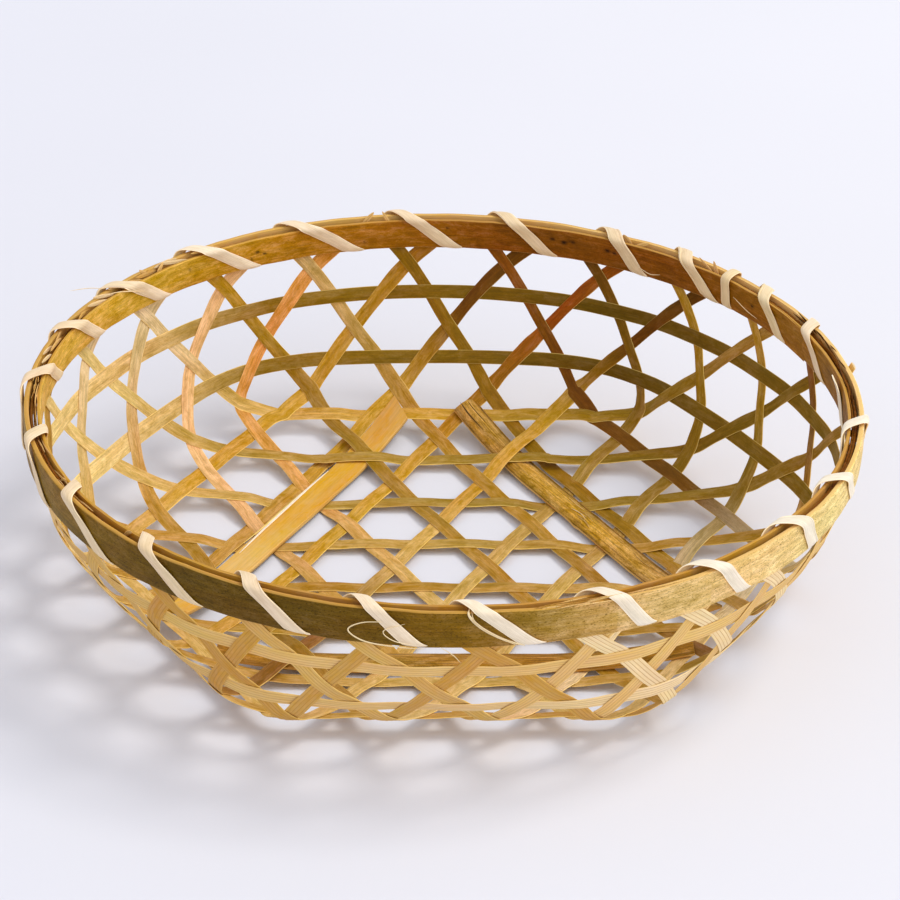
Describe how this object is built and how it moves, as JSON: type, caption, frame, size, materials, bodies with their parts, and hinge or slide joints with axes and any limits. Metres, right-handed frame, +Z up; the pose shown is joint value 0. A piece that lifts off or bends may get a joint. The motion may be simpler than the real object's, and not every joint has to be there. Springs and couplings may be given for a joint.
{
  "type": "winnowing basket",
  "caption": "Shallow open basket of split bamboo in a hexagonal weave, with a lashed double rim hoop and base stiffener slats.",
  "frame": {"origin": "on the surface the basket stands on, below the middle of the base", "axes": "+Z up out of the open mouth, +X along the rim's longer axis, +Y along its shorter axis"},
  "size_m": [0.284, 0.272, 0.0715],
  "materials": {
    "weave": "satin",
    "wall_hoop": "satin",
    "rim_outer": "satin",
    "rim_inner": "satin",
    "rim_filler": "matte",
    "lashing": "matte",
    "slat_pale": "satin",
    "slat_skin": "satin",
    "slat_front": "satin"
  },
  "bodies": {
    "root": {"strip_across_1": "weave", "strip_across_2": "weave", "strip_across_3": "weave", "strip_across_4": "weave", "strip_across_5": "weave", "strip_across_6": "weave", "strip_across_7": "weave", "strip_across_8": "weave", "strip_right_1": "weave", "strip_right_2": "weave", "strip_right_3": "weave", "strip_right_4": "weave", "strip_right_5": "weave", "strip_right_6": "weave", "strip_right_7": "weave", "strip_right_8": "weave", "strip_left_1": "weave", "strip_left_2": "weave", "strip_left_3": "weave", "strip_left_4": "weave", "strip_left_5": "weave", "strip_left_6": "weave", "strip_left_7": "weave", "strip_left_8": "weave", "wall_hoop_lower": "wall_hoop", "wall_hoop_upper": "wall_hoop", "rim_outer_hoop": "rim_outer", "rim_inner_hoop": "rim_inner", "rim_filler_outer": "rim_filler", "rim_filler_inner": "rim_filler", "rim_lashing": "lashing", "slat_left": "slat_pale", "slat_right": "slat_skin", "slat_front": "slat_front"}
  },
  "joints": []
}
